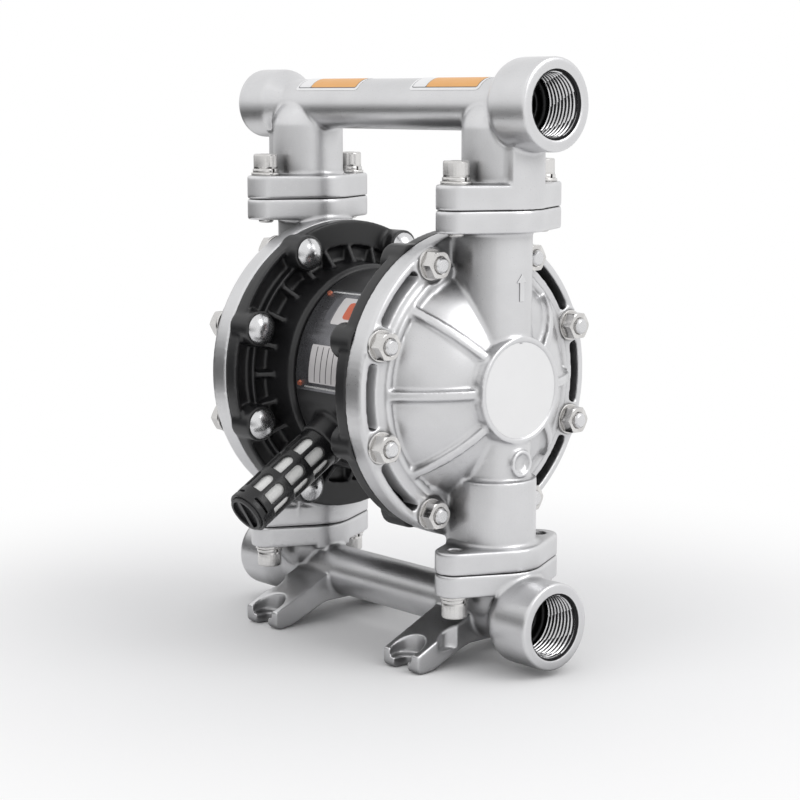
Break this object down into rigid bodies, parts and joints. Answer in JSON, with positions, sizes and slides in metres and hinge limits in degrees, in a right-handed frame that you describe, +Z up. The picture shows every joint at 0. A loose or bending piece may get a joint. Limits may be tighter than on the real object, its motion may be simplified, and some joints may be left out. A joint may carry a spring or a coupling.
{
  "type": "air operated diaphragm pump",
  "caption": "Air operated double diaphragm pump with stainless manifolds and ribbed fluid caps, black moulded air side, slotted feet and an exhaust muffler.",
  "frame": {"origin": "centre of the four foot slots, on the plane that the feet stand on", "axes": "+Z up; +X along both chambers towards the threaded ports; -Y is the front with the muffler, +Y the rear with the air valve"},
  "size_m": [0.234, 0.2006, 0.3059],
  "materials": {
    "cast_stainless": "bead-blasted stainless casting",
    "black_plastic": "black moulded polypropylene, satin",
    "polished_steel": "polished stainless",
    "screw_steel": "bright stainless",
    "seal_rubber": "black nitrile",
    "white_fluoropolymer": "white fluoropolymer, smooth",
    "plate_aluminium": "turned aluminium",
    "bush_brass": "turned bronze",
    "ground_steel": "ground shaft steel",
    "blank_disc": "plain light grey",
    "label_foil": "blank printed foil",
    "red_rivet": "red anodised",
    "filter_white": "porous white"
  },
  "bodies": {
    "pump_body": {"air_cap_gasket_left": "seal_rubber", "air_cap_gasket_right": "seal_rubber", "air_cap_left": "black_plastic", "air_cap_right": "black_plastic", "air_cap_screws_left": "screw_steel", "air_cap_screws_right": "screw_steel", "center_body": "black_plastic", "clamp_bolts_left": "polished_steel", "clamp_bolts_right": "polished_steel", "clamp_nuts_left": "screw_steel", "clamp_nuts_right": "screw_steel", "clamp_washers_left": "screw_steel", "clamp_washers_right": "screw_steel", "diaphragm_left": "white_fluoropolymer", "diaphragm_right": "white_fluoropolymer", "flange_flat_washers": "screw_steel", "flange_lock_washers": "screw_steel", "fluid_cap_left": "cast_stainless", "fluid_cap_right": "cast_stainless", "hub_disc_left": "blank_disc", "hub_disc_right": "blank_disc", "inlet_flange_screws": "screw_steel", "inlet_manifold": "cast_stainless", "inlet_seat_left": "ground_steel", "inlet_seat_right": "ground_steel", "muffler_cage": "black_plastic", "muffler_element": "filter_white", "muffler_end_cap": "black_plastic", "nameplate": "label_foil", "nameplate_rivets": "red_rivet", "outlet_flange_screws": "screw_steel", "outlet_manifold": "cast_stainless", "outlet_seat_left": "ground_steel", "outlet_seat_right": "ground_steel", "pilot_bushes": "bush_brass", "rod_bushes": "bush_brass", "rod_seals": "seal_rubber", "seat_seals": "seal_rubber", "valve_block": "plate_aluminium", "valve_end_cap_left": "plate_aluminium", "valve_end_cap_right": "plate_aluminium", "valve_gasket": "seal_rubber", "valve_screws": "screw_steel", "valve_sleeve": "bush_brass"},
    "rod": {"diaphragm_rod": "ground_steel", "air_plate_right": "plate_aluminium", "air_plate_left": "plate_aluminium", "fluid_plate_right": "cast_stainless", "fluid_plate_left": "cast_stainless"},
    "pilot": {"pilot_rod": "ground_steel"},
    "spool": {"valve_spool": "ground_steel"},
    "outlet_ball_right": {"outlet_ball_right": "white_fluoropolymer"},
    "outlet_ball_left": {"outlet_ball_left": "white_fluoropolymer"},
    "inlet_ball_right": {"inlet_ball_right": "white_fluoropolymer"},
    "inlet_ball_left": {"inlet_ball_left": "white_fluoropolymer"}
  },
  "joints": [
    {"name": "rod_slide", "type": "slide", "parent": "pump_body", "child": "rod", "axis": [1, 0, 0], "range_m": [-0.011, 0.011], "deforming": ["diaphragm_right", "diaphragm_left"]},
    {"name": "pilot_slide", "type": "slide", "parent": "pump_body", "child": "pilot", "axis": [1, 0, 0], "range_m": [-0.00275, 0.00275]},
    {"name": "spool_slide", "type": "slide", "parent": "pump_body", "child": "spool", "axis": [1, 0, 0], "range_m": [0, 0.01]},
    {"name": "outlet_ball_right_lift", "type": "slide", "parent": "pump_body", "child": "outlet_ball_right", "axis": [0, 0, 1], "range_m": [0, 0.0065]},
    {"name": "outlet_ball_left_lift", "type": "slide", "parent": "pump_body", "child": "outlet_ball_left", "axis": [0, 0, 1], "range_m": [0, 0.0065]},
    {"name": "inlet_ball_right_lift", "type": "slide", "parent": "pump_body", "child": "inlet_ball_right", "axis": [0, 0, 1], "range_m": [0, 0.0065]},
    {"name": "inlet_ball_left_lift", "type": "slide", "parent": "pump_body", "child": "inlet_ball_left", "axis": [0, 0, 1], "range_m": [0, 0.0065]}
  ],
  "couplings": [
    {"joint": "pilot_slide", "follows": "rod_slide", "ratio": 0.25}
  ]
}
